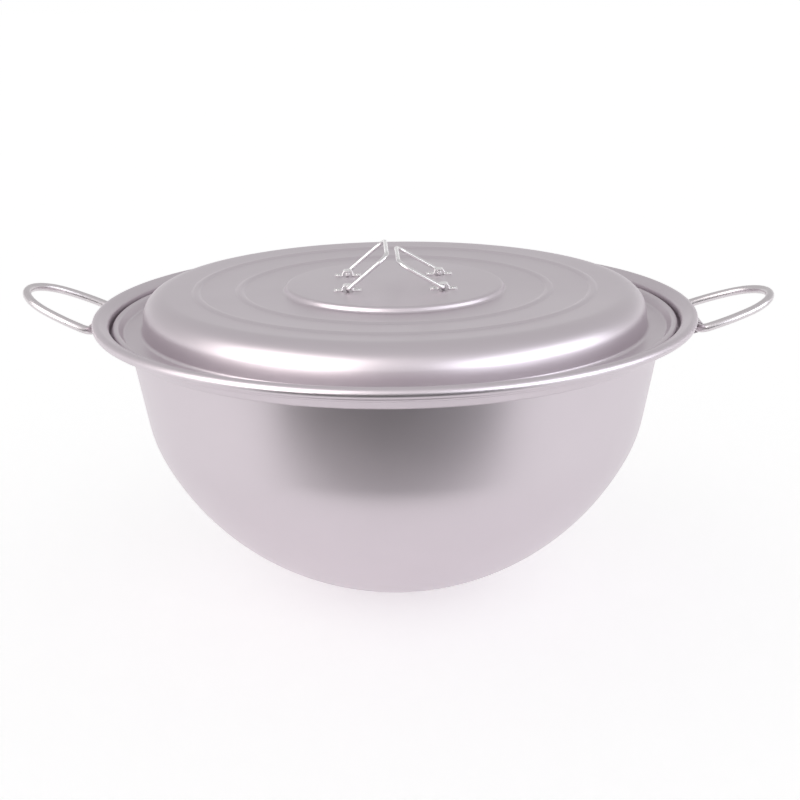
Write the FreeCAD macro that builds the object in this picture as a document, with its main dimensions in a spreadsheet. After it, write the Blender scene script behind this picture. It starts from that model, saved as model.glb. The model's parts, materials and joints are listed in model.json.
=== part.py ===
import FreeCAD, Part
import math
import os
import Sketcher

# A covered round-bottomed brew kettle of spun light-alloy sheet, 360 mm over its rolled rim.
# Lengths in millimetres, angles in degrees. Origin: centre of the resting flat, +Z up, handles on X.

os.makedirs("parts", exist_ok=True)
doc = FreeCAD.newDocument("brew_kettle")

# Driving dimensions, one cell each: alias, value, meaning.
DIMENSIONS = [
    ("gauge", 1.0, "sheet thickness of pot and lid"),
    # pot, measured on the outer skin
    ("rim_height", 170.45, "height of the rim's reference plane above the resting flat"),
    ("base_flat", 28.5, "radius of the resting flat"),
    ("base_blend", 30.0, "bend radius from the flat into the bowl"),
    ("bowl_radius", 159.0, "radius of the round bottom"),
    ("flank_radius", 79.6, "tighter radius of the flank"),
    ("wall_length", 47.0, "straight wall above the flank"),
    ("wall_angle", 80.3, "slope of the straight wall"),
    ("neck_bend", 1.4, "bend radius where the wall steps out"),
    ("lower_ledge", 2.2, "width of the lower ledge"),
    ("band_bend", 2.6, "bend radius at the foot of the band"),
    ("band_length", 4.0, "height of the band along its slope"),
    ("groove_bend", 1.2, "bend radius of the groove above the band"),
    ("seat_width", 1.6, "flat of the ledge that the lid sits on"),
    ("seat_bend", 2.6, "bend radius from the seat to the upstand"),
    ("upstand_length", 3.2, "upstand around the lid"),
    ("flare_bend", 2.4, "bend radius where the upstand flares out"),
    ("flare_length", 3.7, "slope up to the rolled edge"),
    ("roll_radius", 2.1, "inside radius of the rolled edge"),
    # lid, measured on the upper skin
    ("disc_height", 14.5, "centre disc above the rim's reference plane"),
    ("disc_radius", 63.6, "flat of the centre disc"),
    ("step_crest", 2.2, "bend radius at the top of the disc's step"),
    ("step_drop", 1.1, "straight part of the disc's step"),
    ("step_foot", 1.8, "bend radius at the foot of the disc's step"),
    ("dish_angle", 2.1, "upward slope of the lid from the step to the shoulder"),
    ("inner_terrace", 21.8, "sloping ring between the step and the inner bead"),
    ("bead_foot", 2.0, "foot radius of a stiffening bead"),
    ("bead_crest", 4.2, "crest radius of a stiffening bead"),
    ("outer_terrace", 19.3, "ring between the two beads"),
    ("shoulder_terrace", 14.0, "ring outside the outer bead"),
    ("shoulder_radius", 14.0, "large shoulder of the lid"),
    ("skirt_length", 7.4, "side of the dome"),
    ("skirt_foot", 2.2, "bend radius from the side into the flange"),
    ("flange_width", 7.6, "flat flange around the dome"),
    ("lip_bend", 2.0, "bend radius at the foot of the lid's lip"),
    ("lip_length", 3.7, "slope of the lid's lip"),
    ("lip_roll", 2.1, "outside radius of the lid's rolled edge"),
    ("lid_turn", 3.7, "how far the lid is set down turned on the pot"),
    # side handles and their brackets
    ("side_wire", 2.5, "radius of the side handles' wire"),
    ("pivot_radius", 179.0, "distance of a side handle's pin line from the kettle's axis"),
    ("pivot_drop", 8.05, "pin line below the rim's reference plane"),
    ("eye_length", 46.0, "length of the rolled eye"),
    ("bracket_gauge", 0.8, "sheet thickness of a handle bracket"),
    ("eye_radius", 2.6, "inside radius of the eye: the wire and a running fit of 0.1"),
    ("foot_length", 13.6, "part of the bracket that lies on the wall"),
    ("foot_half", 13.0, "half width of the bracket's foot"),
    ("foot_corner", 6.0, "corner radius of the bracket's foot"),
    ("foot_waist", 18.5, "height of the foot's parallel sides above its lower end"),
    ("foot_shoulder", 24.2, "height at which the bracket reaches the eye's full width"),
    ("bracket_bend", 3.5, "bend radius where the bracket leaves the wall"),
    ("bracket_slope", 25.0, "slope of the bracket's arm"),
    ("arm_length", 22.684, "length of the bracket's arm"),
    ("pin_length", 22.4, "length of each turned-in pin"),
    ("pin_gap", 2.5, "half of the gap between the two pins"),
    ("handle_corner", 5.5, "bend radius from a pin into the bow"),
    ("bow_side", 71.3, "radius of the bow's sides"),
    ("bow_tip", 27.884, "radius of the bow's tip"),
    ("handle_left_rise", 23.6, "rest angle of the left side handle above level"),
    ("handle_right_rise", 18.4, "rest angle of the right side handle above level"),
    ("pot_rivet", 2.0, "shank radius of the bracket rivets"),
    ("pot_rivet_pitch", 7.0, "half spacing of a bracket's two rivets"),
    ("pot_rivet_up", 7.0, "bracket rivets above the lower end of the foot"),
    ("pot_rivet_grip", 2.18, "wall, bracket and the slack that the wall's curve leaves"),
    ("pot_head", 3.6, "radius of a bracket rivet's outer head"),
    ("pot_head_rise", 1.6, "height of a bracket rivet's outer head"),
    ("pot_tail", 3.2, "radius of a bracket rivet's head inside the pot"),
    ("pot_tail_rise", 1.1, "height of a bracket rivet's head inside the pot"),
    # lid bails, their straps and rivets
    ("bail_wire", 1.25, "radius of the bails' wire"),
    ("bail_offset", 28.2, "bail pin line to the lid's centre"),
    ("bail_lift", 1.6, "bail pin line above the centre disc"),
    ("bail_leg", 20.8, "straight part of a bail's leg"),
    ("bail_grip", 38.0, "straight part of a bail's grip"),
    ("bail_half", 26.0, "half width of a bail, to the wire's centre"),
    ("bail_pin", 6.5, "length of a bail's turned-in pin"),
    ("bail_foot", 2.6, "bend radius from a pin into a leg"),
    ("bail_corner", 7.0, "bend radius of a bail's upper corners"),
    ("bail_left_rise", 40.0, "rest angle of the left bail above the lid"),
    ("bail_right_rise", 30.0, "rest angle of the right bail above the lid"),
    ("strap_gauge", 0.8, "sheet thickness of a bail strap"),
    ("strap_width", 6.0, "width of a bail strap"),
    ("strap_spread", 21.0, "strap's middle to the lid's centre line"),
    ("strap_ear", 4.2, "flat ear of a strap"),
    ("strap_root", 1.2, "lower bend radius between ear and hump"),
    ("strap_rise", 0.2, "straight side of the hump"),
    ("strap_crown", 1.6, "inside bend radius of the hump's shoulders"),
    ("strap_top", 2.0, "flat top of the hump"),
    ("lid_rivet", 1.0, "shank radius of a strap's rivets"),
    ("lid_rivet_pitch", 5.9, "strap rivet to the strap's middle"),
    ("lid_rivet_grip", 1.8, "strap and lid together"),
    ("lid_head", 1.75, "radius of a strap rivet's upper head"),
    ("lid_head_rise", 0.8, "height of a strap rivet's upper head"),
    ("lid_tail", 1.6, "radius of a strap rivet's head under the lid"),
    ("lid_tail_rise", 0.6, "height of a strap rivet's head under the lid"),
]

sheet = doc.addObject("Spreadsheet::Sheet", "Sheet")
for row, (alias, value, meaning) in enumerate(DIMENSIONS, start=1):
    sheet.set(f"A{row}", meaning)
    sheet.set(f"B{row}", str(value))
    sheet.setAlias(f"B{row}", alias)
doc.recompute()


def dim(alias):
    """The number in the sheet's cell of that name."""
    return float(sheet.get(alias))


def heading_vector(heading):
    """Unit vector along a heading, in the sketch's plane."""
    angle = math.radians(heading)
    return FreeCAD.Vector(math.cos(angle), math.sin(angle), 0)


class Pen:
    """Draws a run of straight lengths and bends, each tangent to the last, in a sketch.

    A run is ("run", length alias); a bend is ("bend", radius alias, turn), positive to the left.
    shift moves the line to its left by a number of millimetres, written as shift_text in the sheet's
    words, so that two pens with the same steps draw the two skins of one sheet.
    """

    def __init__(self, sketch, start, heading, shift=0.0, shift_text=""):
        self.sketch = sketch
        self.heading = heading
        self.shift = shift
        self.shift_text = shift_text
        self.at = start + self.left() * shift
        self.start = FreeCAD.Vector(self.at)
        self.first = None
        self.last = None

    def left(self):
        return heading_vector(self.heading + 90)

    def join(self, geometry, begin, end):
        """Adds one piece and makes it tangent to the one before it."""
        index = self.sketch.addGeometry(geometry, False)
        if self.last is None:
            self.first = (index, begin)
        else:
            self.sketch.addConstraint(Sketcher.Constraint("Tangent", *self.last, index, begin))
        self.last = (index, end)
        return index

    def bind(self, kind, index, value, text):
        """Gives a piece its size from the sheet."""
        number = self.sketch.addConstraint(Sketcher.Constraint(kind, index, value))
        self.sketch.setExpression(f"Constraints[{number}]", text)

    def run(self, alias):
        end = self.at + heading_vector(self.heading) * dim(alias)
        index = self.join(Part.LineSegment(self.at, end), 1, 2)
        self.bind("Distance", index, dim(alias), f"Sheet.{alias}")
        self.at = end

    def bend(self, alias, turn):
        side = 1 if turn > 0 else -1
        radius = dim(alias) - side * self.shift
        centre = self.at + self.left() * side * radius
        circle = Part.Circle(centre, FreeCAD.Vector(0, 0, 1), radius)
        begin = math.radians(self.heading - side * 90)
        end = begin + math.radians(turn)
        if side > 0:
            index = self.join(Part.ArcOfCircle(circle, begin, end), 1, 2)
        else:
            index = self.join(Part.ArcOfCircle(circle, end, begin), 2, 1)
        sign = "-" if side > 0 else "+"
        text = f"Sheet.{alias} {sign} {self.shift_text}" if self.shift_text else f"Sheet.{alias}"
        self.bind("Radius", index, radius, text)
        self.heading += turn
        self.at = centre - self.left() * side * radius

    def draw(self, steps):
        for step in steps:
            if step[0] == "run":
                self.run(step[1])
            else:
                self.bend(step[1], step[2])
        return self


def origin_plane(body, role):
    """One of a body's own origin planes, such as XZ_Plane."""
    for feature in body.Origin.OriginFeatures:
        if feature.Role == role:
            return feature
    raise ValueError(role)


def new_body(name):
    body = doc.addObject("PartDesign::Body", name)
    body.Label = name
    return body


def new_sketch(body, name, role, offset=None):
    """An empty sketch on one of the body's origin planes."""
    sketch = body.newObject("Sketcher::SketchObject", name)
    sketch.AttachmentSupport = [(origin_plane(body, role), "")]
    sketch.MapMode = "FlatFace"
    if offset is not None:
        sketch.AttachmentOffset = FreeCAD.Placement(offset, FreeCAD.Rotation())
    return sketch


def close_ends(sketch, one, other):
    """Straight caps between the ends of two skins, which makes one closed outline."""
    for begin, end, ids in ((one.start, other.start, (one.first, other.first)),
                            (one.at, other.at, (one.last, other.last))):
        index = sketch.addGeometry(Part.LineSegment(begin, end), False)
        sketch.addConstraint(Sketcher.Constraint("Coincident", index, 1, *ids[0]))
        sketch.addConstraint(Sketcher.Constraint("Coincident", index, 2, *ids[1]))


def draw_strip(sketch, start, heading, steps, thickness_text, thickness):
    """The section of a bent sheet: the given line, and a second one a thickness to its left."""
    one = Pen(sketch, start, heading).draw(steps)
    other = Pen(sketch, start, heading, thickness, thickness_text).draw(steps)
    close_ends(sketch, one, other)
    return one


def spin(body, sketch):
    """A full turn of the sketch about the kettle's axis."""
    revolution = body.newObject("PartDesign::Revolution", "Spin")
    revolution.Profile = sketch
    revolution.ReferenceAxis = (sketch, ["V_Axis"])
    revolution.Angle = 360
    sketch.Visibility = False
    doc.recompute()
    return revolution


def cut_through(body, sketch, name):
    """Pockets a sketch both ways through the whole body, and makes sure that it cut."""
    before = body.Shape.Volume
    pocket = body.newObject("PartDesign::Pocket", name)
    pocket.Profile = sketch
    pocket.Type = "ThroughAll"
    pocket.Midplane = True
    doc.recompute()
    if not body.Shape.Volume < before:
        raise RuntimeError(f"{body.Label}: {name} cut nothing")
    return pocket


# Turns of the bends, in degrees. The runs and radii are in the sheet.
BASE_TURN = 12.5
BOWL_TURN = 52.2
POT_ROLL_TURN = 262.0
BAND_TURN = 54.0
LEDGE_SLOPE = 6.0
UPSTAND_SLOPE = 82.0
FLARE_SLOPE = 28.0
STEP_TURN = 66.0
BEAD_TURN = 32.0
SKIRT_SLOPE = -84.0
LIP_SLOPE = 58.0
LIP_ROLL_TURN = 250.0
EYE_TURN = 285.0
BOW_SIDE_TURN = -19.6
BOW_TIP_TURN = -140.8
SQUARE_TURN = 90.0

# Lengths of cutting tools, in millimetres, that leave no mark on the kettle.
TRIM_REACH = 5.0
DRILL_LENGTH = 12.0

POT_SECTION = [
    ("run", "base_flat"),
    ("bend", "base_blend", BASE_TURN),
    ("bend", "bowl_radius", BOWL_TURN),
    ("bend", "flank_radius", dim("wall_angle") - BASE_TURN - BOWL_TURN),
    ("run", "wall_length"),
    ("bend", "neck_bend", LEDGE_SLOPE - dim("wall_angle")),
    ("run", "lower_ledge"),
    ("bend", "band_bend", BAND_TURN),
    ("run", "band_length"),
    ("bend", "groove_bend", -BAND_TURN),
    ("run", "seat_width"),
    ("bend", "seat_bend", UPSTAND_SLOPE - LEDGE_SLOPE),
    ("run", "upstand_length"),
    ("bend", "flare_bend", FLARE_SLOPE - UPSTAND_SLOPE),
    ("run", "flare_length"),
    ("bend", "roll_radius", -POT_ROLL_TURN),
]

BEAD = [
    ("bend", "bead_foot", BEAD_TURN),
    ("bend", "bead_crest", -2 * BEAD_TURN),
    ("bend", "bead_foot", BEAD_TURN),
]

LID_SECTION = [
    ("run", "disc_radius"),
    ("bend", "step_crest", -STEP_TURN),
    ("run", "step_drop"),
    ("bend", "step_foot", STEP_TURN + dim("dish_angle")),
    ("run", "inner_terrace"),
    *BEAD,
    ("run", "outer_terrace"),
    *BEAD,
    ("run", "shoulder_terrace"),
    ("bend", "shoulder_radius", SKIRT_SLOPE - dim("dish_angle")),
    ("run", "skirt_length"),
    ("bend", "skirt_foot", -SKIRT_SLOPE),
    ("run", "flange_width"),
    ("bend", "lip_bend", LIP_SLOPE),
    ("run", "lip_length"),
    ("bend", "lip_roll", -LIP_ROLL_TURN),
]


def pot_shell():
    """The pot, spun from one sheet: bowl, two ledges, upstand and rolled edge."""
    body = new_body("pot_blank")
    sketch = new_sketch(body, "PotSection", "XZ_Plane")
    draw_strip(sketch, FreeCAD.Vector(0, 0, 0), 0.0, POT_SECTION, "Sheet.gauge", dim("gauge"))
    spin(body, sketch)
    return body


def lid_shell():
    """The lid, spun from one sheet: stepped disc, two beads, shoulder, flange and rolled lip."""
    body = new_body("lid_shell")
    sketch = new_sketch(body, "LidSection", "XZ_Plane")
    top = FreeCAD.Vector(0, dim("rim_height") + dim("disc_height"), 0)
    draw_strip(sketch, top, 0.0, LID_SECTION, "-Sheet.gauge", -dim("gauge"))
    spin(body, sketch)
    holes = new_sketch(body, "RivetHoles", "XY_Plane")
    for strap_x, strap_y in strap_places():
        for side in (-1, 1):
            centre = FreeCAD.Vector(strap_x + side * dim("lid_rivet_pitch"), strap_y, 0)
            add_hole(holes, centre, "lid_rivet")
    cut_through(body, holes, "RivetPocket")
    body.Placement = lid_turned()
    return body


def add_hole(sketch, centre, alias):
    """A circle whose radius is in the sheet."""
    circle = Part.Circle(centre, FreeCAD.Vector(0, 0, 1), dim(alias))
    index = sketch.addGeometry(circle, False)
    number = sketch.addConstraint(Sketcher.Constraint("Radius", index, dim(alias)))
    sketch.setExpression(f"Constraints[{number}]", f"Sheet.{alias}")


def strap_places():
    """The middles of the four bail straps, in the lid's own frame."""
    return [(x * dim("bail_offset"), y * dim("strap_spread")) for x in (-1, 1) for y in (-1, 1)]


def lid_turned():
    """The lid's pieces are all set down turned by the same small angle."""
    turn = FreeCAD.Rotation(FreeCAD.Vector(0, 0, 1), dim("lid_turn"))
    return FreeCAD.Placement(FreeCAD.Vector(0, 0, 0), turn)


def about(axis, angle):
    return FreeCAD.Placement(FreeCAD.Vector(0, 0, 0), FreeCAD.Rotation(axis, angle))


def moved(x, y, z):
    return FreeCAD.Placement(FreeCAD.Vector(x, y, z), FreeCAD.Rotation())


X_AXIS = FreeCAD.Vector(1, 0, 0)
Y_AXIS = FreeCAD.Vector(0, 1, 0)
Z_AXIS = FreeCAD.Vector(0, 0, 1)
FACING = {"left": about(Z_AXIS, 180), "right": about(Z_AXIS, 0)}


def handle_bracket(side):
    """A strip riveted to the wall, bent out under the rim and rolled into an eye for the handle."""
    body = new_body(f"handle_bracket_{side}")
    sketch = new_sketch(body, "Strip", "XZ_Plane")
    slope = dim("wall_angle")
    arm = dim("bracket_slope")
    eye = FreeCAD.Vector(dim("pivot_radius"), dim("rim_height") - dim("pivot_drop"), 0)
    arm_end = eye - heading_vector(arm + 90) * dim("eye_radius")
    bend_end = arm_end - heading_vector(arm) * dim("arm_length")
    centre = bend_end - heading_vector(arm + 90) * dim("bracket_bend")
    foot_end = centre + heading_vector(slope + 90) * dim("bracket_bend")
    start = foot_end - heading_vector(slope) * dim("foot_length")
    steps = [
        ("run", "foot_length"),
        ("bend", "bracket_bend", arm - slope),
        ("run", "arm_length"),
        ("bend", "eye_radius", EYE_TURN),
    ]
    draw_strip(sketch, start, slope, steps, "-Sheet.bracket_gauge", -dim("bracket_gauge"))
    pad = body.newObject("PartDesign::Pad", "Width")
    pad.Profile = sketch
    pad.Midplane = True
    pad.setExpression("Length", "Sheet.eye_length")
    doc.recompute()
    trim = new_sketch(body, "Trim", "YZ_Plane")
    for hand in (-1, 1):
        trim_outline(trim, hand, start.y)
    cut_through(body, trim, "TrimPocket")
    body.Placement = FACING[side]
    return body, start


def trim_outline(sketch, hand, low):
    """What is cut away beside the foot: a rounded corner below, and a slope up to the eye."""
    half = dim("foot_half")
    corner = dim("foot_corner")
    shoulder = low + dim("foot_shoulder")
    outside = dim("eye_length") / 2 + TRIM_REACH
    below = low - TRIM_REACH
    inner = half - corner
    points = [(half, low + corner), (half, low + dim("foot_waist")), (dim("eye_length") / 2, shoulder),
              (outside, shoulder), (outside, below), (inner, below), (inner, low)]
    corners = [FreeCAD.Vector(hand * y, z, 0) for y, z in points]
    edges = [Part.LineSegment(a, b) for a, b in zip(corners, corners[1:])]
    middle = FreeCAD.Vector(hand * (inner + corner * math.sin(math.radians(45))),
                            low + corner * (1 - math.cos(math.radians(45))), 0)
    edges.append(Part.Arc(corners[-1], middle, corners[0]))
    sketch.addGeometry(edges, False)


def wire_loop(name, steps, start, wire_alias):
    """A round wire bent in the XY plane, with its first pin along +Y on the pin line."""
    body = new_body(name)
    path = new_sketch(body, "Path", "XY_Plane")
    Pen(path, start, 90.0).draw(steps)
    section = new_sketch(body, "Section", "XZ_Plane", FreeCAD.Vector(0, 0, -start.y))
    add_hole(section, FreeCAD.Vector(start.x, 0, 0), wire_alias)
    doc.recompute()
    pipe = body.newObject("PartDesign::AdditivePipe", "Wire")
    pipe.Profile = section
    pipe.Spine = (path, [f"Edge{i + 1}" for i in range(len(steps))])
    doc.recompute()
    return body


def side_handle(side):
    """A bow of round wire whose two ends turn in to make the pins in the bracket's eye."""
    steps = [
        ("run", "pin_length"),
        ("bend", "handle_corner", -SQUARE_TURN),
        ("bend", "bow_side", BOW_SIDE_TURN),
        ("bend", "bow_tip", BOW_TIP_TURN),
        ("bend", "bow_side", BOW_SIDE_TURN),
        ("bend", "handle_corner", -SQUARE_TURN),
        ("run", "pin_length"),
    ]
    start = FreeCAD.Vector(0, dim("pin_gap"), 0)
    body = wire_loop(f"side_handle_{side}", steps, start, "side_wire")
    lift = moved(dim("pivot_radius"), 0, dim("rim_height") - dim("pivot_drop"))
    body.Placement = FACING[side] * lift * about(Y_AXIS, -dim(f"handle_{side}_rise"))
    return body


def lid_bail(side):
    """A square-shouldered wire bail whose ends turn in through its two straps."""
    steps = [
        ("run", "bail_pin"),
        ("bend", "bail_foot", -SQUARE_TURN),
        ("run", "bail_leg"),
        ("bend", "bail_corner", -SQUARE_TURN),
        ("run", "bail_grip"),
        ("bend", "bail_corner", -SQUARE_TURN),
        ("run", "bail_leg"),
        ("bend", "bail_foot", -SQUARE_TURN),
        ("run", "bail_pin"),
    ]
    pin_start = dim("bail_half") - dim("bail_foot") - dim("bail_pin")
    body = wire_loop(f"lid_bail_{side}", steps, FreeCAD.Vector(0, pin_start, 0), "bail_wire")
    height = dim("rim_height") + dim("disc_height") + dim("bail_lift")
    inward = about(Y_AXIS, -dim(f"bail_{side}_rise"))
    facing = FACING["right"] if side == "left" else FACING["left"]
    body.Placement = lid_turned() * facing * moved(-dim("bail_offset"), 0, height) * inward
    return body


def lid_strap(name, x, y):
    """An omega strap over a bail's pin: two flat ears and a flat-topped hump."""
    body = new_body(name)
    sketch = new_sketch(body, "Omega", "XZ_Plane")
    half = dim("strap_top") / 2 + dim("strap_crown") + dim("strap_root")
    steps = [
        ("run", "strap_ear"),
        ("bend", "strap_root", SQUARE_TURN),
        ("run", "strap_rise"),
        ("bend", "strap_crown", -SQUARE_TURN),
        ("run", "strap_top"),
        ("bend", "strap_crown", -SQUARE_TURN),
        ("run", "strap_rise"),
        ("bend", "strap_root", SQUARE_TURN),
        ("run", "strap_ear"),
    ]
    start = FreeCAD.Vector(-half - dim("strap_ear"), 0, 0)
    draw_strip(sketch, start, 0.0, steps, "Sheet.strap_gauge", dim("strap_gauge"))
    pad = body.newObject("PartDesign::Pad", "Width")
    pad.Profile = sketch
    pad.Midplane = True
    pad.setExpression("Length", "Sheet.strap_width")
    doc.recompute()
    holes = new_sketch(body, "Holes", "XY_Plane")
    for side in (-1, 1):
        add_hole(holes, FreeCAD.Vector(side * dim("lid_rivet_pitch"), 0, 0), "lid_rivet")
    cut_through(body, holes, "HolePocket")
    height = dim("rim_height") + dim("disc_height")
    body.Placement = lid_turned() * moved(x, y, height)
    return body


def dome(name, head, base):
    """A low round head: the top of a sphere, flat side down at the base height."""
    radius = dim(head)
    rise = dim(f"{head}_rise")
    ball_radius = (radius * radius + rise * rise) / (2 * rise)
    ball = doc.addObject("Part::Sphere", name)
    ball.setExpression("Radius", f"(Sheet.{head} ^ 2 + Sheet.{head}_rise ^ 2) / (2 * Sheet.{head}_rise)")
    ball.Angle1 = math.degrees(math.asin((ball_radius - rise) / ball_radius))
    ball.Placement = moved(0, 0, base - (ball_radius - rise))
    return ball


def rivet(name, kind):
    """A round-headed rivet along Z: its grip runs down from zero, the head above, the tail below.

    kind is pot or lid, the first word of its sizes in the sheet.
    """
    grip = dim(f"{kind}_rivet_grip")
    shank = doc.addObject("Part::Cylinder", f"{name}_shank")
    shank.setExpression("Radius", f"Sheet.{kind}_rivet")
    shank.setExpression("Height", f"Sheet.{kind}_rivet_grip")
    shank.Placement = moved(0, 0, -grip)
    head = dome(f"{name}_head", f"{kind}_head", 0.0)
    tail = dome(f"{name}_tail", f"{kind}_tail", 0.0)
    tail.Placement = moved(0, 0, -grip) * about(X_AXIS, 180) * tail.Placement
    whole = doc.addObject("Part::MultiFuse", name)
    whole.Shapes = [shank, head, tail]
    return whole


def rivet_group(label, rivets, placement):
    """Several identical rivets as one sub-part."""
    group = doc.addObject("Part::Compound", label)
    group.Label = label
    group.Links = rivets
    group.Placement = placement
    return group


def strap_rivets(label, x, y):
    """The two rivets of one bail strap, through its ears and the lid."""
    rivets = []
    for hand, word in ((-1, "first"), (1, "second")):
        one = rivet(f"{label}_{word}", "lid")
        one.Placement = moved(hand * dim("lid_rivet_pitch"), 0, dim("strap_gauge"))
        rivets.append(one)
    height = dim("rim_height") + dim("disc_height")
    return rivet_group(label, rivets, lid_turned() * moved(x, y, height))


def wall_frame(start):
    """The place of a bracket's rivets: Z out of the wall, origin on the bracket's outer face."""
    along = heading_vector(dim("wall_angle")) * dim("pot_rivet_up")
    out = heading_vector(dim("wall_angle") - 90) * dim("bracket_gauge")
    place = start + along + out
    return moved(place.x, 0, place.y) * about(Y_AXIS, 90) * about(Y_AXIS, 90 - dim("wall_angle"))


def bracket_rivets(side, start):
    """The two rivets that hold a bracket to the pot's wall."""
    label = f"bracket_rivets_{side}"
    rivets = []
    for hand, word in ((-1, "front"), (1, "back")):
        one = rivet(f"{label}_{word}", "pot")
        one.Placement = moved(0, hand * dim("pot_rivet_pitch"), 0)
        rivets.append(one)
    return rivet_group(label, rivets, FACING[side] * wall_frame(start))


def drilled(name, blank, start, sides):
    """The blank with a hole for each bracket rivet."""
    drills = []
    for side in sides:
        for hand in (-1, 1):
            drill = doc.addObject("Part::Cylinder", f"{name}_drill")
            drill.setExpression("Radius", "Sheet.pot_rivet")
            drill.Height = DRILL_LENGTH
            local = moved(0, hand * dim("pot_rivet_pitch"), -DRILL_LENGTH / 2)
            drill.Placement = FACING[side] * wall_frame(start) * local
            drills.append(drill)
    tools = doc.addObject("Part::Compound", f"{name}_drills")
    tools.Links = drills
    cut = doc.addObject("Part::Cut", name)
    cut.Label = name
    cut.Base = blank
    cut.Tool = tools
    return cut


def build():
    """All sub-parts, by the name of their node."""
    parts = [lid_shell()]
    blank = pot_shell()
    for side in ("left", "right"):
        bracket, start = handle_bracket(side)
        bracket.Label = f"handle_bracket_{side}_blank"
        parts.append(drilled(f"handle_bracket_{side}", bracket, start, [side]))
        parts.append(bracket_rivets(side, start))
        parts.append(side_handle(side))
        parts.append(lid_bail(side))
    parts.append(drilled("pot_shell", blank, start, ["left", "right"]))
    for x, y in strap_places():
        place = ("left" if x < 0 else "right") + ("_front" if y < 0 else "_back")
        parts.append(lid_strap(f"bail_strap_{place}", x, y))
        parts.append(strap_rivets(f"strap_rivets_{place}", x, y))
    return parts


def check_and_export(parts):
    """Every object is sound, every sub-part is a valid closed shape, then each is written."""
    doc.recompute()
    for thing in doc.Objects:
        if "Invalid" in thing.State or "Error" in thing.State:
            raise RuntimeError(f"{thing.Label} failed: {thing.State}")
    for sub_part in parts:
        shape = sub_part.Shape
        if shape.isNull() or not shape.isValid() or not shape.Solids:
            raise RuntimeError(f"{sub_part.Label} has no sound shape")
    for sub_part in parts:
        sub_part.Shape.exportStep(f"parts/{sub_part.Label}.step")
        print(sub_part.Label, len(sub_part.Shape.Solids), "solid", round(sub_part.Shape.Volume, 1), "mm3")


check_and_export(build())
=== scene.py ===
import json
import math
import bpy
import numpy as np
from mathutils import Matrix, Vector


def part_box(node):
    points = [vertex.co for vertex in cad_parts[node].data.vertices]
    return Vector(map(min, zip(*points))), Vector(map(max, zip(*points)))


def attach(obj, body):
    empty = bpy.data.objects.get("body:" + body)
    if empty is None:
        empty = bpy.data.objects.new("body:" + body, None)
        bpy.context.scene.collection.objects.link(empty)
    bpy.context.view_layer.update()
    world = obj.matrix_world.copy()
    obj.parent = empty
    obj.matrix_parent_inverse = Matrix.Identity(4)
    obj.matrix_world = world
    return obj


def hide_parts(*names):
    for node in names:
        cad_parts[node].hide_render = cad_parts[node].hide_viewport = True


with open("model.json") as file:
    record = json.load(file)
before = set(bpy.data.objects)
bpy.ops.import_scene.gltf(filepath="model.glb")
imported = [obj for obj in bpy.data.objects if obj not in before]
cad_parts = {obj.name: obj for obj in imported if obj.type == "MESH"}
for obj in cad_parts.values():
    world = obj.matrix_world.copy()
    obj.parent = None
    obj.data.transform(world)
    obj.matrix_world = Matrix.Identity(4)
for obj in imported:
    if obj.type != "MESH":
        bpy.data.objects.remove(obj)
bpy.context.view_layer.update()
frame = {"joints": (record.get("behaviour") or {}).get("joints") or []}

# A covered round-bottomed brew kettle in satin light alloy, with wire handles and wire bails.
# The kettle's own sizes are in millimetres and degrees, and MM makes them metres. The studio's are
# in metres and degrees.
MM = 0.001

# How finely the pieces are divided.
ROUND_THE_SHELL = 288
ROUND_A_RIVET = 48
CORNER_STEPS = 8
BEND_STEP = math.radians(7.0)
LENGTH_STEP = 3.0
END_STEPS = 5
HEAD_STEPS = 9
WIDTH_STEPS = 240
SHARP_EDGE = math.radians(40)
SAME_POINT = 1e-6

# Sheet and wire.
GAUGE = 1.0
BRACKET_GAUGE = 0.8
STRAP_GAUGE = 0.8
SIDE_WIRE = 2.5
BAIL_WIRE = 1.25
WIRE_END_ROUND = 0.45
SHEET_EDGE_ROUND = 0.25
SMALLEST_ROUND = 0.02
SHANK_SLACK = 0.02
CORNER_HOLD = 0.06

# The pot's outer skin from the middle of the resting flat to the cut edge inside the rolled rim.
POT_SKIN = [
    ("run", 28.5), ("bend", 30.0, 12.5), ("bend", 159.0, 52.2), ("bend", 79.6, 15.6),
    ("run", 47.0), ("bend", 1.4, -74.3), ("run", 2.2), ("bend", 2.6, 54.0),
    ("run", 4.0), ("bend", 1.2, -54.0), ("run", 1.6), ("bend", 2.6, 76.0),
    ("run", 3.2), ("bend", 2.4, -54.0), ("run", 3.7), ("bend", 2.1, -262.0),
]
BEAD = [("bend", 2.0, 32.0), ("bend", 4.2, -64.0), ("bend", 2.0, 32.0)]

# The lid's upper skin from the middle of its raised disc to the cut edge inside the rolled lip.
LID_SKIN = [
    ("run", 63.6), ("bend", 2.2, -66.0), ("run", 1.1), ("bend", 1.8, 68.1), ("run", 21.8),
    *BEAD, ("run", 19.3), *BEAD, ("run", 14.0), ("bend", 14.0, -86.1), ("run", 7.4),
    ("bend", 2.2, 84.0), ("run", 7.6), ("bend", 2.0, 58.0), ("run", 3.7), ("bend", 2.1, -250.0),
]

# A side handle: two pins that almost meet, and a bow between them.
SIDE_PIN_GAP = 2.5
SIDE_BOW = [
    ("run", 22.4), ("bend", 5.5, -90.0), ("bend", 71.3, -19.6), ("bend", 27.884, -140.8),
    ("bend", 71.3, -19.6), ("bend", 5.5, -90.0), ("run", 22.4),
]
SIDE_RISE = {"left": 23.6, "right": 18.4}

# A bail: two short pins and a square-shouldered loop.
BAIL_PIN_START = 16.9
BAIL_LOOP = [
    ("run", 6.5), ("bend", 2.6, -90.0), ("run", 20.8), ("bend", 7.0, -90.0), ("run", 38.0),
    ("bend", 7.0, -90.0), ("run", 20.8), ("bend", 2.6, -90.0), ("run", 6.5),
]
BAIL_RISE = {"left": 40.0, "right": 30.0}
LID_TURN = 3.7

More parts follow.
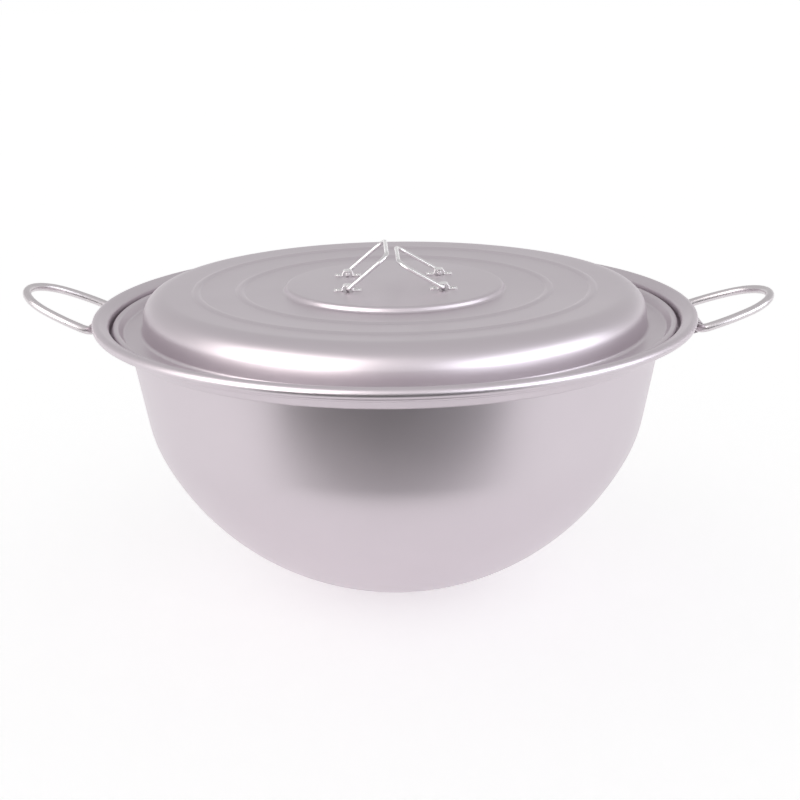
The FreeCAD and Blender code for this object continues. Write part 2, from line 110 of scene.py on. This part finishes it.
# A bail's strap: an omega with two flat ears.
STRAP_EAR = 4.2
STRAP_HUMP = [
    ("bend", 1.2, 90.0), ("run", 0.2), ("bend", 1.6, -90.0), ("run", 2.0),
    ("bend", 1.6, -90.0), ("run", 0.2), ("bend", 1.2, 90.0),
]
STRAP_HALF_HUMP = 3.8
STRAP_WIDTH = 6.0
STRAP_RIVET_OUT = 5.9

# A handle bracket: a foot on the wall, an arm under the rim and a rolled eye.
WALL_SLOPE = 80.3
ARM_SLOPE = 25.0
EYE_RADIUS = 2.6
EYE_TURN = 285.0
FOOT = 13.6
FOOT_BEND = 3.5
ARM = 22.684
FOOT_HALF = 13.0
FOOT_CORNER = 6.0
FOOT_WAIST = 18.5
FOOT_SHOULDER = 24.2
EYE_HALF = 23.0
BRACKET_RIVET_UP = 7.0
BRACKET_RIVET_OUT = 7.0

# Rivets: head radius and rise, shank radius, grip, tail radius and rise.
BRACKET_RIVET = (3.6, 1.6, 2.0, 2.18, 3.2, 1.1)
STRAP_RIVET = (1.75, 0.8, 1.0, 1.8, 1.6, 0.6)

JOINTS = {joint["name"]: joint for joint in frame["joints"]}


# ---------------------------------------------------------------- lines and surfaces


def trace(start, heading, steps, offset=0.0):
    """The line that runs and bends make, moved sideways to its left by the offset.

    A run goes straight on. A bend turns about a centre a radius to the left or right of the line,
    by its angle, positive to the left, and the moved line turns about the same centre.
    """
    at = np.array(start, float)
    angle = math.radians(heading)
    at = at + offset * np.array([-math.sin(angle), math.cos(angle)])
    lines = [at[None]]
    for step in steps:
        if step[0] == "run":
            ahead = np.array([math.cos(angle), math.sin(angle)])
            count = max(1, math.ceil(step[1] / LENGTH_STEP))
            line = at + np.linspace(0, step[1], count + 1)[1:, None] * ahead
        else:
            turn = math.radians(step[2])
            side = math.copysign(1.0, turn)
            radius = step[1] - side * offset
            centre = at + side * radius * np.array([-math.sin(angle), math.cos(angle)])
            count = max(abs(turn) / BEND_STEP, abs(turn) * step[1] / LENGTH_STEP)
            turns = angle + np.linspace(0, turn, math.ceil(count) + 1)[1:]
            line = centre + side * radius * np.stack([np.sin(turns), -np.cos(turns)], axis=1)
            angle += turn
        lines.append(line)
        at = line[-1]
    return np.concatenate(lines)


def sheet_section(start, heading, steps, gauge):
    """The closed outline of a sheet: one skin out, the cut edge, and the other skin back."""
    skin = trace(start, heading, steps)
    back = trace(start, heading, steps, gauge)[::-1]
    return np.concatenate([skin, back])


def around_z(outline, segments):
    """Rows of points from turning an outline of (radius, height) about the upright axis.

    A point at angle a is (radius times cos a, radius times sin a, height).
    """
    angles = np.linspace(0, 2 * math.pi, segments, endpoint=False)
    radius = outline[:, 0, None]
    height = np.broadcast_to(outline[:, 1, None], (len(outline), segments))
    return np.stack([radius * np.cos(angles), radius * np.sin(angles), height], axis=2)


def corner_start(quarter, half_wide, half_thick, corner):
    """The first point of a rectangle's rounded corner: its middle plus the radius along an axis."""
    middle = (quarter + 0.5) * math.pi / 2
    along = quarter * math.pi / 2
    return np.stack([
        math.copysign(1, math.cos(middle)) * (half_wide - corner) + corner * round(math.cos(along)),
        math.copysign(1, math.sin(middle)) * (half_thick - corner) + corner * round(math.sin(along)),
    ], axis=1)


def rounded_section(half_wide, half_thick, corner):
    """Points round a rectangle with round corners, one outline per row of the sizes given.

    Each corner is a quarter circle; the flats between get two extra points close to the corners.
    Where the section is a circle, it has no flats, and the points that fall together become one.
    """
    turns = np.linspace(0, math.pi / 2, CORNER_STEPS + 1)
    outline = []
    for quarter in range(4):
        angle = turns + quarter * math.pi / 2
        sign_wide = math.copysign(1, math.cos(angle[CORNER_STEPS // 2]))
        sign_thick = math.copysign(1, math.sin(angle[CORNER_STEPS // 2]))
        wide = sign_wide * (half_wide - corner)[:, None] + corner[:, None] * np.cos(angle)
        thick = sign_thick * (half_thick - corner)[:, None] + corner[:, None] * np.sin(angle)
        outline.append(np.stack([wide, thick], axis=2))
        last = outline[-1][:, -1]
        flat = corner_start(quarter + 1, half_wide, half_thick, corner) - last
        outline.append(np.stack([last + CORNER_HOLD * flat, last + (1 - CORNER_HOLD) * flat], axis=1))
    outline = np.concatenate(outline, axis=1)
    apart = np.linalg.norm(outline - np.roll(outline, 1, axis=1), axis=2).max(axis=0)
    return outline[:, apart > SAME_POINT]


def swept(line, half_wide, half_thick, corner, end_round):
    """Rows of points round a bar that follows a flat line, and the bar's straightened coordinates.

    The section is a rounded rectangle across the line: its thickness lies in the line's plane and
    its width square to it. Near both ends the section shrinks along a quarter circle and then
    closes in a point, so that the ends are flat with rounded edges.
    """
    gaps = np.linalg.norm(np.diff(line, axis=0), axis=1)
    line = line[np.concatenate([[True], gaps > SAME_POINT])]
    gaps = np.linalg.norm(np.diff(line, axis=0), axis=1)
    length = np.concatenate([[0.0], np.cumsum(gaps)])
    half_wide = np.interp(length, np.linspace(0, length[-1], len(half_wide)), half_wide)
    turns = np.linspace(0, math.pi / 2, END_STEPS)
    easing = end_round * (1 - np.sin(turns))
    near = end_round * (1 - np.cos(turns))
    inside = (length > end_round) & (length < length[-1] - end_round)
    places = np.concatenate([[0.0], near, length[inside], length[-1] - near[::-1], [length[-1]]])
    shrink = np.concatenate([[0.0], easing, np.zeros(inside.sum()), easing[::-1], [0.0]])
    at = np.stack([np.interp(places, length, line[:, axis]) for axis in (0, 1)], axis=1)
    slope = np.gradient(line, length, axis=0)
    ahead = np.stack([np.interp(places, length, slope[:, axis]) for axis in (0, 1)], axis=1)
    ahead /= np.linalg.norm(ahead, axis=1)[:, None]
    wide = np.interp(places, length, half_wide) - shrink
    thick = half_thick - shrink
    round_off = np.maximum(corner - shrink, SMALLEST_ROUND)
    outline = rounded_section(wide, thick, np.minimum(round_off, np.minimum(wide, thick)))
    outline[0] = 0.0
    outline[-1] = 0.0
    left = np.stack([-ahead[:, 1], ahead[:, 0]], axis=1)
    flat = at[:, None, :] + outline[:, :, 1, None] * left[:, None, :]
    rows = np.concatenate([flat, outline[:, :, 0, None]], axis=2)
    along = np.broadcast_to(places[:, None, None], outline.shape[:2] + (1,))
    return rows, np.concatenate([outline, along], axis=2)


def in_space(rows, across, up, along, origin):
    """Rows of (x, y, width) points placed in space: the origin, plus x across, y up and width along."""
    axes = np.array([across, up, along], float)
    return rows @ axes + np.array(origin, float)


def turned(rows, axis, angle, centre=(0, 0, 0)):
    """The rows turned about an axis through a centre."""
    matrix = np.array(Matrix.Rotation(math.radians(angle), 3, Vector(axis)))
    return (rows - np.array(centre)) @ matrix.T + np.array(centre)


def closed_tube(rows, base):
    """Vertices and faces of rows that close round and end in a point at both ends.

    The volume that the faces hold, the sum of each corner dotted with the next two crossed, tells
    which way they face, and they are turned to face outwards.
    """
    count, around = rows.shape[0] - 2, rows.shape[1]
    points = np.concatenate([rows[:1, 0], rows[1:-1].reshape(-1, 3), rows[-1:, 0]])
    index = 1 + np.arange(count * around).reshape(count, around)
    beside = np.roll(index, -1, axis=1)
    quads = np.stack([index[:-1], beside[:-1], beside[1:], index[1:]], axis=2).reshape(-1, 4)
    first = np.stack([np.zeros(around, int), beside[0], index[0]], axis=1)
    last = np.stack([np.full(around, len(points) - 1), index[-1], beside[-1]], axis=1)
    triangles = np.concatenate([first, last])
    corners = points[triangles[:, 0]], points[triangles[:, 1]], points[triangles[:, 2]]
    volume = np.einsum("ij,ij->", corners[0], np.cross(corners[1], corners[2]))
    for third in (2, 3):
        corners = points[quads[:, 0]], points[quads[:, third - 1]], points[quads[:, third]]
        volume += np.einsum("ij,ij->", corners[0], np.cross(corners[1], corners[2]))
    if volume < 0:
        quads, triangles = quads[:, ::-1], triangles[:, ::-1]
    return points, (quads + base).tolist() + (triangles + base).tolist()


def piece(name, tubes, metal, body, nodes, straight=None):
    """One mesh piece from tubes of rows in millimetres, riding on a body in place of CAD nodes."""
    points, faces, start = [], [], 0
    for rows in tubes:
        tube_points, tube_faces = closed_tube(rows, start)
        points.append(tube_points)
        faces += tube_faces
        start += len(tube_points)
    mesh = bpy.data.meshes.new(name)
    mesh.from_pydata((np.concatenate(points) * MM).tolist(), [], faces)
    if straight is not None:
        rows = np.concatenate([straight[:1, 0], straight[1:-1].reshape(-1, 3), straight[-1:, 0]])
        layer = mesh.attributes.new("straight", "FLOAT_VECTOR", "POINT")
        layer.data.foreach_set("vector", (rows * MM).astype(np.float32).ravel())
    mesh.shade_smooth()
    mesh.set_sharp_from_angle(angle=SHARP_EDGE)
    mesh.materials.append(metal)
    thing = bpy.data.objects.new(name, mesh)
    bpy.context.scene.collection.objects.link(thing)
    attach(thing, body)
    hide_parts(*nodes)
    return thing


# ---------------------------------------------------------------- metals

# How fine the patterns are, in waves to the metre, and how far a drawing line runs on.
TURNING_LINES = 900.0
BLASTED_GRAIN = 2600.0
CLOUDS = 14.0
DRAWING_LINES = 5200.0
LINE_STRETCH = 0.03
RUBBED_PATCHES = 260.0
DENTS = 900.0

# How deep the grain and the dents are, in metres.
GRAIN_DEPTH = 0.00002
DENT_DEPTH = 0.00006


class Metal:
    """A metal's node tree, with short calls to add and join nodes."""

    def __init__(self, name):
        self.material = bpy.data.materials.new(name)
        self.material.use_nodes = True
        self.tree = self.material.node_tree
        self.shader = self.tree.nodes["Principled BSDF"]
        self.shader.inputs["Metallic"].default_value = 1.0

    def node(self, kind, inputs=None, **settings):
        """A node with its settings, and its inputs either joined to a socket or set to a value."""
        made = self.tree.nodes.new(kind)
        for key, value in settings.items():
            setattr(made, key, value)
        for key, value in (inputs or {}).items():
            if isinstance(value, bpy.types.NodeSocket):
                self.tree.links.new(value, made.inputs[key])
            else:
                made.inputs[key].default_value = value
        return made

    def join(self, socket, name):
        self.tree.links.new(socket, self.shader.inputs[name])

    def noise(self, vector, scale, detail=3.0, roughness=0.5):
        return self.node("ShaderNodeTexNoise", {"Vector": vector, "Scale": scale, "Detail": detail,
                                                "Roughness": roughness}).outputs["Fac"]

    def spread(self, factor, low, high, start=0.3, end=0.7):
        """A factor stretched from start..end to low..high."""
        return self.node("ShaderNodeMapRange", {"Value": factor, "From Min": start, "From Max": end,
                                                "To Min": low, "To Max": high}).outputs["Result"]

    def tint(self, factor, one, other):
        """A colour between two near greys."""
        return self.node("ShaderNodeMix", {"Factor": factor, 6: (*one, 1.0), 7: (*other, 1.0)},
                         data_type="RGBA").outputs[2]

    def bump(self, height, distance, strength, below=None):
        inputs = {"Height": height, "Distance": distance, "Strength": strength}
        if below is not None:
            inputs["Normal"] = below
        return self.node("ShaderNodeBump", inputs).outputs["Normal"]


def satin_metal(name, one, other, rough, spin_depth):
    """Blasted light alloy: an even fine grain over faint turning lines, a little cloudy."""
    metal = Metal(name)
    place = metal.node("ShaderNodeTexCoord").outputs["Object"]
    parts = metal.node("ShaderNodeSeparateXYZ", {"Vector": place}).outputs
    flat = metal.node("ShaderNodeCombineXYZ", {"X": parts["X"], "Y": parts["Y"]}).outputs["Vector"]
    radius = metal.node("ShaderNodeVectorMath", {0: flat}, operation="LENGTH").outputs["Value"]
    ring = metal.node("ShaderNodeCombineXYZ", {"X": radius, "Z": parts["Z"]}).outputs["Vector"]
    lines = metal.noise(ring, TURNING_LINES, 2.0)
    grain = metal.noise(place, BLASTED_GRAIN, 2.0, 0.6)
    cloud = metal.noise(place, CLOUDS, 4.0)
    metal.join(metal.tint(cloud, one, other), "Base Color")
    metal.join(metal.spread(cloud, rough - 0.02, rough + 0.03), "Roughness")
    lined = metal.bump(lines, spin_depth, 0.5)
    metal.join(metal.bump(grain, GRAIN_DEPTH, 0.5, lined), "Normal")
    return metal.material


def drawn_metal(name, one, other, rough, line_depth):
    """Polished wire or strip: fine drawing lines that run along it, and small rubbed patches."""
    metal = Metal(name)
    place = metal.node("ShaderNodeAttribute", attribute_name="straight").outputs["Vector"]
    stretch = metal.node("ShaderNodeVectorMath", {0: place, 1: (1.0, 1.0, LINE_STRETCH)},
                         operation="MULTIPLY")
    lines = metal.noise(stretch.outputs["Vector"], DRAWING_LINES, 2.0)
    rubbed = metal.noise(place, RUBBED_PATCHES, 3.0)
    metal.join(metal.tint(rubbed, one, other), "Base Color")
    metal.join(metal.spread(rubbed, rough - 0.03, rough + 0.05), "Roughness")
    metal.join(metal.bump(lines, line_depth, 0.5), "Normal")
    return metal.material


def headed_metal(name, one, other, rough):
    """Rivet metal: hammered smooth, with faint dents."""
    metal = Metal(name)
    place = metal.node("ShaderNodeTexCoord").outputs["Object"]
    dents = metal.noise(place, DENTS, 2.0)
    metal.join(metal.tint(dents, one, other), "Base Color")
    metal.join(metal.spread(dents, rough - 0.04, rough + 0.06), "Roughness")
    metal.join(metal.bump(dents, DENT_DEPTH, 0.6), "Normal")
    return metal.material


# Each metal's name, its two near greys, its roughness and the depth of its lines in metres.
METALS = {
    "satin_shell": satin_metal("satin_alloy", (0.672, 0.612, 0.655), (0.635, 0.578, 0.618), 0.38, 0.00001),
    "satin_bracket": drawn_metal("satin_strip", (0.72, 0.67, 0.70), (0.66, 0.62, 0.645), 0.28, 0.00001),
    "side_wire": drawn_metal("drawn_wire", (0.72, 0.68, 0.70), (0.65, 0.61, 0.63), 0.30, 0.00001),
    "polished_wire": drawn_metal("polished_wire", (0.86, 0.84, 0.85), (0.80, 0.78, 0.79), 0.22, 0.000006),
    "polished_strap": drawn_metal("polished_strip", (0.86, 0.84, 0.85), (0.80, 0.78, 0.79), 0.22, 0.000006),
    "rivet": headed_metal("rivet_metal", (0.74, 0.72, 0.73), (0.66, 0.64, 0.65), 0.24),
}


# ---------------------------------------------------------------- the kettle's pieces


def pot():
    """The pot: the sheet's section turned about the upright axis."""
    section = sheet_section((0.0, 0.0), 0.0, POT_SKIN, GAUGE)
    return piece("spun_pot", [around_z(section, ROUND_THE_SHELL)], METALS["satin_shell"], "kettle",
                 ["pot_shell"])


def lid():
    """The lid: the sheet's section turned about the upright axis."""
    top = disc_height()
    section = sheet_section((0.0, top), 0.0, LID_SKIN, -GAUGE)
    return piece("spun_lid", [around_z(section, ROUND_THE_SHELL)], METALS["satin_shell"], "lid",
                 ["lid_shell"])


def disc_height():
    """The upper face of the lid's raised disc, in millimetres."""
    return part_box("lid_shell")[1].z / MM


def wire_sizes(line, radius):
    """A round wire as a rounded rectangle: its half widths, half thickness and corner are one radius."""
    return np.full(len(line), radius), radius, radius


def side_handle(side, sign):
    """A bow of round wire: a circle carried along the bow's line, raised about its pins."""
    joint = JOINTS[f"side_handle_{side}_hinge"]
    pivot = np.array(joint["pos_m"]) / MM
    line = trace((0.0, SIDE_PIN_GAP), 90.0, SIDE_BOW)
    rows, straight = swept(line, *wire_sizes(line, SIDE_WIRE), WIRE_END_ROUND)
    placed = in_space(rows, (sign, 0, 0), (0, sign, 0), (0, 0, 1), pivot)
    placed = turned(placed, (0, -sign, 0), SIDE_RISE[side], pivot)
    return piece(f"wire_handle_{side}", [placed], METALS["side_wire"], f"side_handle_{side}",
                 [f"side_handle_{side}"], straight)


def lid_bail(side, sign):
    """A wire bail: a circle carried along the loop's line, leaning in over the lid."""
    joint = JOINTS[f"lid_bail_{side}_hinge"]
    pivot = np.array(joint["pos_m"]) / MM
    line = trace((0.0, BAIL_PIN_START), 90.0, BAIL_LOOP)
    rows, straight = swept(line, *wire_sizes(line, BAIL_WIRE), WIRE_END_ROUND / 2)
    placed = in_space(rows, (-sign, 0, 0), (0, -sign, 0), (0, 0, 1), (0, 0, 0))
    placed = turned(placed, (0, sign, 0), BAIL_RISE[side])
    placed = turned(placed, (0, 0, 1), LID_TURN) + pivot
    return piece(f"wire_bail_{side}", [placed], METALS["polished_wire"], f"lid_bail_{side}",
                 [f"lid_bail_{side}"], straight)


def strap_middle(end, row):
    """Where a strap stands on the lid: its bail's pin line, a strap's spread to the front or back."""
    low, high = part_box(f"bail_strap_{end}_{row}")
    return (low.x + high.x) / 2 / MM, (low.y + high.y) / 2 / MM


def bail_strap(end, row):
    """An omega strap: a rounded rectangle carried along the ear, hump and ear."""
    x, y = strap_middle(end, row)
    steps = [("run", STRAP_EAR), *STRAP_HUMP, ("run", STRAP_EAR)]
    line = trace((-STRAP_HALF_HUMP - STRAP_EAR, 0.0), 0.0, steps, STRAP_GAUGE / 2)
    rows, straight = swept(line, np.full(len(line), STRAP_WIDTH / 2), STRAP_GAUGE / 2,
                           SHEET_EDGE_ROUND, SHEET_EDGE_ROUND / 2)
    placed = in_space(rows, (1, 0, 0), (0, 0, 1), (0, -1, 0), (0, 0, 0))
    placed = turned(placed, (0, 0, 1), LID_TURN) + np.array([x, y, disc_height()])
    return piece(f"omega_strap_{end}_{row}", [placed], METALS["polished_strap"], "lid",
                 [f"bail_strap_{end}_{row}"], straight)


def rivet_outline(head, rise, shank, grip, tail, tail_rise):
    """A rivet's outline of (radius, height): a low round head, the shank and a lower tail."""
    turns = np.linspace(0, math.pi / 2, HEAD_STEPS)
    top = np.stack([head * np.sin(turns), rise * np.cos(turns)], axis=1)
    under = np.array([[shank, -SHANK_SLACK], [shank, -grip + SHANK_SLACK]])
    bottom = np.stack([tail * np.cos(turns), -grip - tail_rise * np.sin(turns)], axis=1)
    return np.concatenate([top, under, bottom])


def rivets(name, sizes, places, out, across, body, node):
    """Round-headed rivets: an outline turned about its own axis, stood at each place along out."""
    rows = around_z(rivet_outline(*sizes), ROUND_A_RIVET)
    along = np.cross(out, across)
    tubes = [in_space(rows, across, along, out, place) for place in places]
    return piece(name, tubes, METALS["rivet"], body, [node])


def strap_rivets(end, row):
    """A strap's two rivets, one through each ear."""
    x, y = strap_middle(end, row)
    middle = np.array([x, y, disc_height() + STRAP_GAUGE])
    across = np.array([math.cos(math.radians(LID_TURN)), math.sin(math.radians(LID_TURN)), 0.0])
    places = [middle - STRAP_RIVET_OUT * across, middle + STRAP_RIVET_OUT * across]
    return rivets(f"strap_rivet_pair_{end}_{row}", STRAP_RIVET, places, np.array([0.0, 0.0, 1.0]),
                  across, "lid", f"strap_rivets_{end}_{row}")


def bracket_start(pivot):
    """The lower end of a bracket's foot, worked back from its eye along the arm and the bend."""
    arm, wall = math.radians(ARM_SLOPE), math.radians(WALL_SLOPE)
    arm_left = np.array([-math.sin(arm), math.cos(arm)])
    wall_left = np.array([-math.sin(wall), math.cos(wall)])
    eye = np.array([abs(pivot[0]), pivot[2]])
    arm_end = eye - arm_left * EYE_RADIUS
    bend_end = arm_end - np.array([math.cos(arm), math.sin(arm)]) * ARM
    foot_end = bend_end + (wall_left - arm_left) * FOOT_BEND
    return foot_end - np.array([math.cos(wall), math.sin(wall)]) * FOOT


def bracket_half_width(height):
    """Half the strip's width at a height above its foot: round corners, parallel, then wider."""
    into = np.clip(FOOT_CORNER - height, 0, FOOT_CORNER)
    corner = FOOT_HALF - FOOT_CORNER + np.sqrt(np.maximum(FOOT_CORNER ** 2 - into ** 2, 0.0))
    wider = np.interp(height, [FOOT_WAIST, FOOT_SHOULDER], [FOOT_HALF, EYE_HALF], left=0)
    return np.maximum(corner, wider)


def handle_bracket(side, sign):
    """A handle bracket: a strip of changing width carried along the foot, arm and eye."""
    pivot = np.array(JOINTS[f"side_handle_{side}_hinge"]["pos_m"]) / MM
    start = bracket_start(pivot)
    steps = [("run", FOOT), ("bend", FOOT_BEND, ARM_SLOPE - WALL_SLOPE), ("run", ARM),
             ("bend", EYE_RADIUS, EYE_TURN)]
    line = trace(start, WALL_SLOPE, steps, -BRACKET_GAUGE / 2)
    length = np.concatenate([[0.0], np.cumsum(np.linalg.norm(np.diff(line, axis=0), axis=1))])
    finer = np.linspace(0, length[-1], WIDTH_STEPS)
    height = np.interp(finer, length, line[:, 1]) - start[1]
    rising = np.maximum.accumulate(height)
    rows, straight = swept(line, bracket_half_width(rising), BRACKET_GAUGE / 2, SHEET_EDGE_ROUND,
                           SHEET_EDGE_ROUND / 2)
    placed = in_space(rows, (sign, 0, 0), (0, 0, 1), (0, sign, 0), (0, 0, 0))
    return piece(f"rolled_bracket_{side}", [placed], METALS["satin_bracket"], "kettle",
                 [f"handle_bracket_{side}"], straight)


def bracket_rivets(side, sign):
    """A bracket's two rivets, side by side through its foot and square to the pot's wall."""
    pivot = np.array(JOINTS[f"side_handle_{side}_hinge"]["pos_m"]) / MM
    wall = math.radians(WALL_SLOPE)
    ahead = np.array([math.cos(wall), math.sin(wall)])
    outward = np.array([math.sin(wall), -math.cos(wall)])
    spot = bracket_start(pivot) + ahead * BRACKET_RIVET_UP + outward * BRACKET_GAUGE
    middle = np.array([sign * spot[0], 0.0, spot[1]])
    aside = np.array([0.0, BRACKET_RIVET_OUT, 0.0])
    out = np.array([sign * outward[0], 0.0, outward[1]])
    return rivets(f"bracket_rivet_pair_{side}", BRACKET_RIVET, [middle - aside, middle + aside], out,
                  np.array([0.0, 1.0, 0.0]), "kettle", f"bracket_rivets_{side}")


pot()
lid()
for side, sign in (("left", -1), ("right", 1)):
    side_handle(side, sign)
    lid_bail(side, sign)
    handle_bracket(side, sign)
    bracket_rivets(side, sign)
    for row in ("front", "back"):
        bail_strap(side, row)
        strap_rivets(side, row)


# ---------------------------------------------------------------- studio

RIM_PLANE = 170.45 * MM
CAMERA_AWAY = 0.810
CAMERA_SIDE = 2.05
CAMERA_UP = 13.25
CAMERA_ROLL = 0.75
AIM_BELOW = 4.06
AIM_ASIDE = 0.17
LENS = 59.92
SENSOR = 36.0

# The surround's light on the floor and the floor's own glow add up to white.
SURROUND = 0.66
FLOOR_GLOW = 0.41
FLOOR_GREY = 0.9
FLOOR_REACH = 30.0
FLOOR_DROP = 0.0004
WALL_AWAY = 20.0
WALL_HEIGHT = 3.4
MATT = 0.9

# Painted shade for the dark room in front: dark sheets that only the metal mirrors, where they start and
# end, and how dark they are.
SHADE_SHEET_GREY = 0.12
SHADE_SHEET_START = 0.26
SHADE_SHEET_NARROW = 0.8
SHADE_SHEET_MIDDLE = 0.62
SHADE_SHEET_LIFT = 0.002
ROOM_REACH = 6.0
ROOM_SIDE_FRONT = 1.0
ROOM_SIDE_BACK = 1.1

# Panels: azimuth from the front, elevation, width and height in degrees, brightness and tone.
PANEL_AWAY = 1.6
PANEL_AIM = 0.1
PANELS = [
    ("left_panel", -48.0, 23.0, 58.0, 52.0, 2.2, (1.0, 0.97, 0.94)),
    ("right_panel", 63.0, 15.0, 68.0, 34.0, 2.2, (0.92, 0.95, 1.0)),
    ("low_left_panel", -36.0, 4.0, 40.0, 13.0, 2.0, (1.0, 0.97, 0.95)),
    ("low_right_panel", 42.0, 4.0, 34.0, 13.0, 1.4, (0.92, 0.95, 1.0)),
    ("front_panel", 4.0, 30.0, 44.0, 50.0, 0.22, (1.0, 0.98, 0.99)),
]


def outwards(azimuth, elevation):
    """The direction that azimuth turns from the front towards the right, and elevation lifts."""
    a, e = math.radians(azimuth), math.radians(elevation)
    return Vector((math.sin(a) * math.cos(e), -math.cos(a) * math.cos(e), math.sin(e)))


def camera():
    """A camera at the front, a little to the right and above, with the kettle's rim above its aim."""
    back = outwards(CAMERA_SIDE, CAMERA_UP)
    lens = bpy.data.cameras.new("studio_camera")
    lens.lens = LENS
    lens.sensor_width = SENSOR
    thing = bpy.data.objects.new("studio_camera", lens)
    bpy.context.scene.collection.objects.link(thing)
    sight = (-back).to_track_quat("-Z", "Y").to_matrix()
    pitch = Matrix.Rotation(math.radians(-AIM_BELOW), 3, "X")
    yaw = Matrix.Rotation(math.radians(-AIM_ASIDE), 3, "Y")
    roll = Matrix.Rotation(math.radians(-CAMERA_ROLL), 3, "Z")
    place = Matrix.Translation(Vector((0, 0, RIM_PLANE)) + back * CAMERA_AWAY)
    thing.matrix_world = place @ (sight @ pitch @ yaw @ roll).to_4x4()
    bpy.context.scene.camera = thing


def soft_panel(name, azimuth, elevation, across, height, brightness, tone):
    """A soft panel that faces the kettle and covers the given angles; the floor takes no light from it."""
    wide = 2 * PANEL_AWAY * math.tan(math.radians(across / 2))
    tall = 2 * PANEL_AWAY * math.tan(math.radians(height / 2))
    light = bpy.data.lights.new(name, "AREA")
    light.shape = "RECTANGLE"
    light.size, light.size_y = wide, tall
    light.energy, light.color = math.pi * wide * tall * brightness, tone
    thing = bpy.data.objects.new(name, light)
    out = outwards(azimuth, elevation)
    thing.location = out * PANEL_AWAY + Vector((0, 0, PANEL_AIM))
    thing.rotation_euler = out.to_track_quat("Z", "Y").to_euler()
    thing.visible_camera = False
    thing.visible_diffuse = False
    bpy.context.scene.collection.objects.link(thing)


def plain_sheet(name, corners, grey, glow=0.0):
    """A flat matt sheet of the studio between four corners, which may glow a little."""
    mesh = bpy.data.meshes.new(name)
    mesh.from_pydata(corners, [], [(0, 1, 2, 3)])
    paint = bpy.data.materials.new(name)
    paint.use_nodes = True
    shader = paint.node_tree.nodes["Principled BSDF"]
    shader.inputs["Base Color"].default_value = (grey, grey, grey, 1)
    shader.inputs["Roughness"].default_value = MATT
    shader.inputs["Specular IOR Level"].default_value = 0.0
    shader.inputs["Emission Color"].default_value = (1, 1, 1, 1)
    shader.inputs["Emission Strength"].default_value = glow
    mesh.materials.append(paint)
    thing = bpy.data.objects.new(name, mesh)
    bpy.context.scene.collection.objects.link(thing)
    return thing


def white_wall(name, quarter_turns):
    """A low white wall far off, which lifts the floor's edge; the metal doesn't mirror the front one."""
    side = Matrix.Rotation(quarter_turns * math.pi / 2, 3, "Z")
    half, top = WALL_AWAY, WALL_HEIGHT
    corners = [(-half, -half, 0), (half, -half, 0), (half, -half, top), (-half, -half, top)]
    wall = plain_sheet(name, [side @ Vector(corner) for corner in corners], 0.0, 1.0)
    wall.visible_glossy = quarter_turns > 0
    wall.visible_diffuse = False


def level(height, *places):
    """The corners of a sheet that lies level: each (x, y) place at one height."""
    return [(x, y, height) for x, y in places]


def mirrored_shade_sheet(name, *places):
    """Painted shade: a dark level sheet that only the metal mirrors, standing in for the unlit room in
    front of a studio table.
    """
    shade_sheet = plain_sheet(name, level(SHADE_SHEET_LIFT, *places), SHADE_SHEET_GREY)
    shade_sheet.visible_camera = False
    shade_sheet.visible_diffuse = False
    shade_sheet.visible_shadow = False


def studio():
    """A white floor, an even pale surround, a soft panel on each side and the dark room in front as painted
    shade that only the metal mirrors.
    """
    sky = bpy.data.worlds.new("pale_surround")
    sky.use_nodes = True
    sky.node_tree.nodes["Background"].inputs["Color"].default_value = (1, 1, 1, 1)
    sky.node_tree.nodes["Background"].inputs["Strength"].default_value = SURROUND
    bpy.context.scene.world = sky
    far = FLOOR_REACH
    plain_sheet("pale_floor", level(-FLOOR_DROP, (-far, -far), (far, -far), (far, far), (-far, far)),
                FLOOR_GREY, FLOOR_GLOW)
    for turn, name in enumerate(("front_wall", "right_wall", "back_wall", "left_wall")):
        white_wall(name, turn)
    near, narrow = SHADE_SHEET_START, SHADE_SHEET_START * SHADE_SHEET_NARROW
    mid, room = SHADE_SHEET_MIDDLE, ROOM_REACH
    # Painted shade: dark sheets in front that only the metal mirrors, standing in for the unlit room.
    mirrored_shade_sheet("front_shade_sheet", (-mid, -mid), (mid, -mid), (narrow, -near), (-narrow, -near))
    mirrored_shade_sheet("front_room_shade", (-room, -room), (room, -room), (room, -mid), (-room, -mid))
    mirrored_shade_sheet("right_room_shade", (ROOM_SIDE_FRONT, -mid), (room, -mid), (room, mid), (ROOM_SIDE_BACK, mid))
    for panel in PANELS:
        soft_panel(*panel)
    bpy.context.scene.view_settings.view_transform = "Standard"


camera()
studio()
